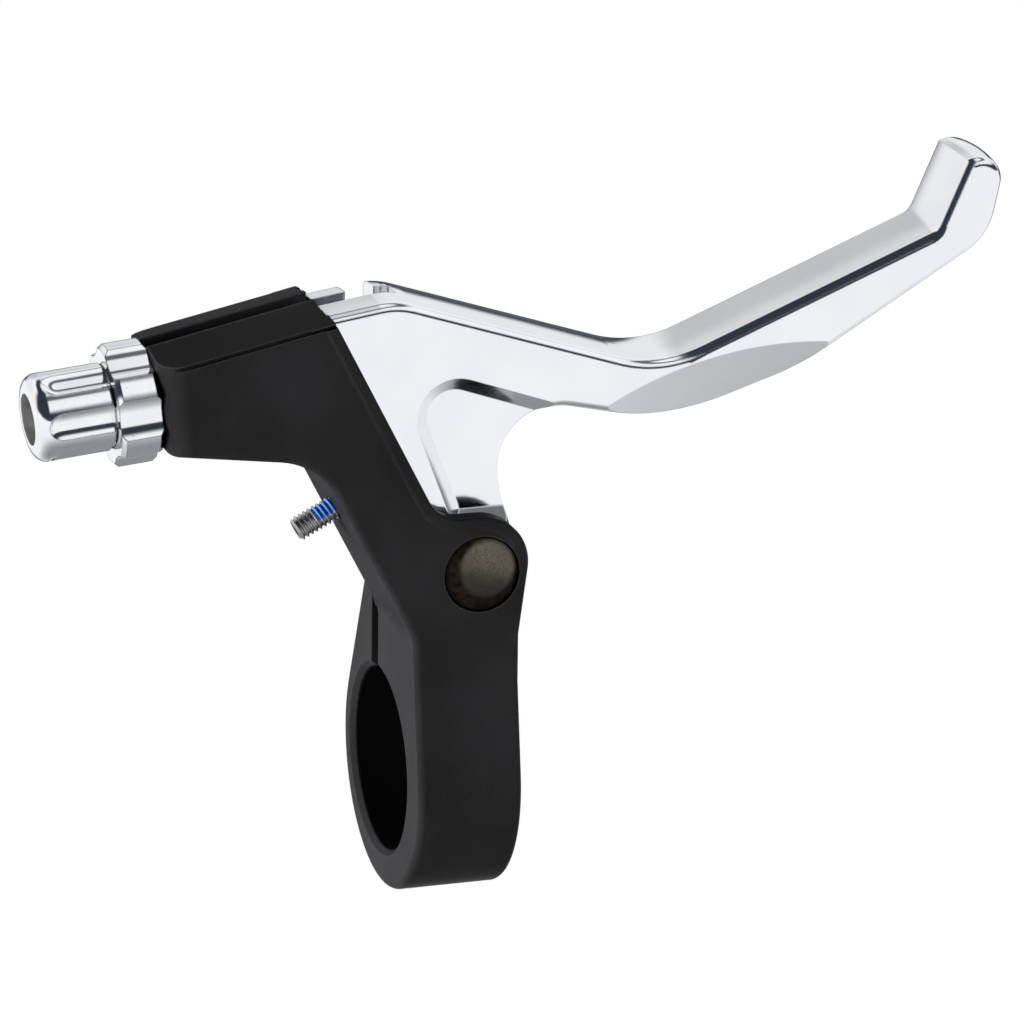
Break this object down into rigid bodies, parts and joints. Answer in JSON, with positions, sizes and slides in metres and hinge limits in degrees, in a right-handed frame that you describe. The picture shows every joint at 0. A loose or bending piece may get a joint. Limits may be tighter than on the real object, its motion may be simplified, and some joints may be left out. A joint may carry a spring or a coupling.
{
  "type": "bicycle brake lever",
  "caption": "Two-finger brake lever for a flat bar: dark cast bracket with split bar clamp, bright dog-leg lever, cable adjuster and reach screw.",
  "frame": {"origin": "on the bar's axis, in the middle of the clamp's width", "axes": "+X along the bar towards its end, +Y away from the face of the lever, +Z from the bar up to the lever"},
  "size_m": [0.1199, 0.031, 0.0888],
  "materials": {
    "black_paint": "satin",
    "polished_alloy": "polished",
    "dark_steel": "black oxide",
    "zinc_steel": "zinc plated",
    "spring_steel": "drawn",
    "bright_chrome": "polished",
    "bearing_plastic": "moulded"
  },
  "bodies": {
    "bracket": {"bracket": "black_paint", "pivot_pin": "dark_steel", "pivot_screw": "zinc_steel", "clamp_washer": "zinc_steel", "clamp_bolt": "dark_steel"},
    "lever": {"lever": "polished_alloy", "front_bush": "bearing_plastic", "rear_bush": "bearing_plastic", "return_spring": "spring_steel"},
    "lock_nut": {"lock_nut": "bright_chrome"},
    "barrel": {"barrel_adjuster": "bright_chrome"},
    "reach_screw": {"reach_screw": "zinc_steel"}
  },
  "joints": [
    {"name": "lever_pivot", "type": "hinge", "parent": "bracket", "child": "lever", "pos_m": [0.00185, -0.0063, 0.0272], "axis": [0, 1, 0], "range_deg": [0, 34], "stiffness_Nm_per_rad": 0.12, "springref_deg": -45.84, "deforming": ["return_spring"]},
    {"name": "adjuster_feed", "type": "slide", "parent": "bracket", "child": "lock_nut", "axis": [-0.9958, 0, -0.0915], "range_m": [0, 0.008]},
    {"name": "adjuster_turn", "type": "hinge", "parent": "lock_nut", "child": "barrel", "pos_m": [-0.0369, -0.0063, 0.04985], "axis": [-0.9958, 0, -0.0915], "range_deg": [0, 2880]},
    {"name": "reach_feed", "type": "slide", "parent": "bracket", "child": "reach_screw", "axis": [-0.8894, 0, -0.4571], "range_m": [0, 0.0025]}
  ],
  "couplings": [
    {"joint": "adjuster_feed", "follows": "adjuster_turn", "m_per_rad": 0.00015915}
  ]
}
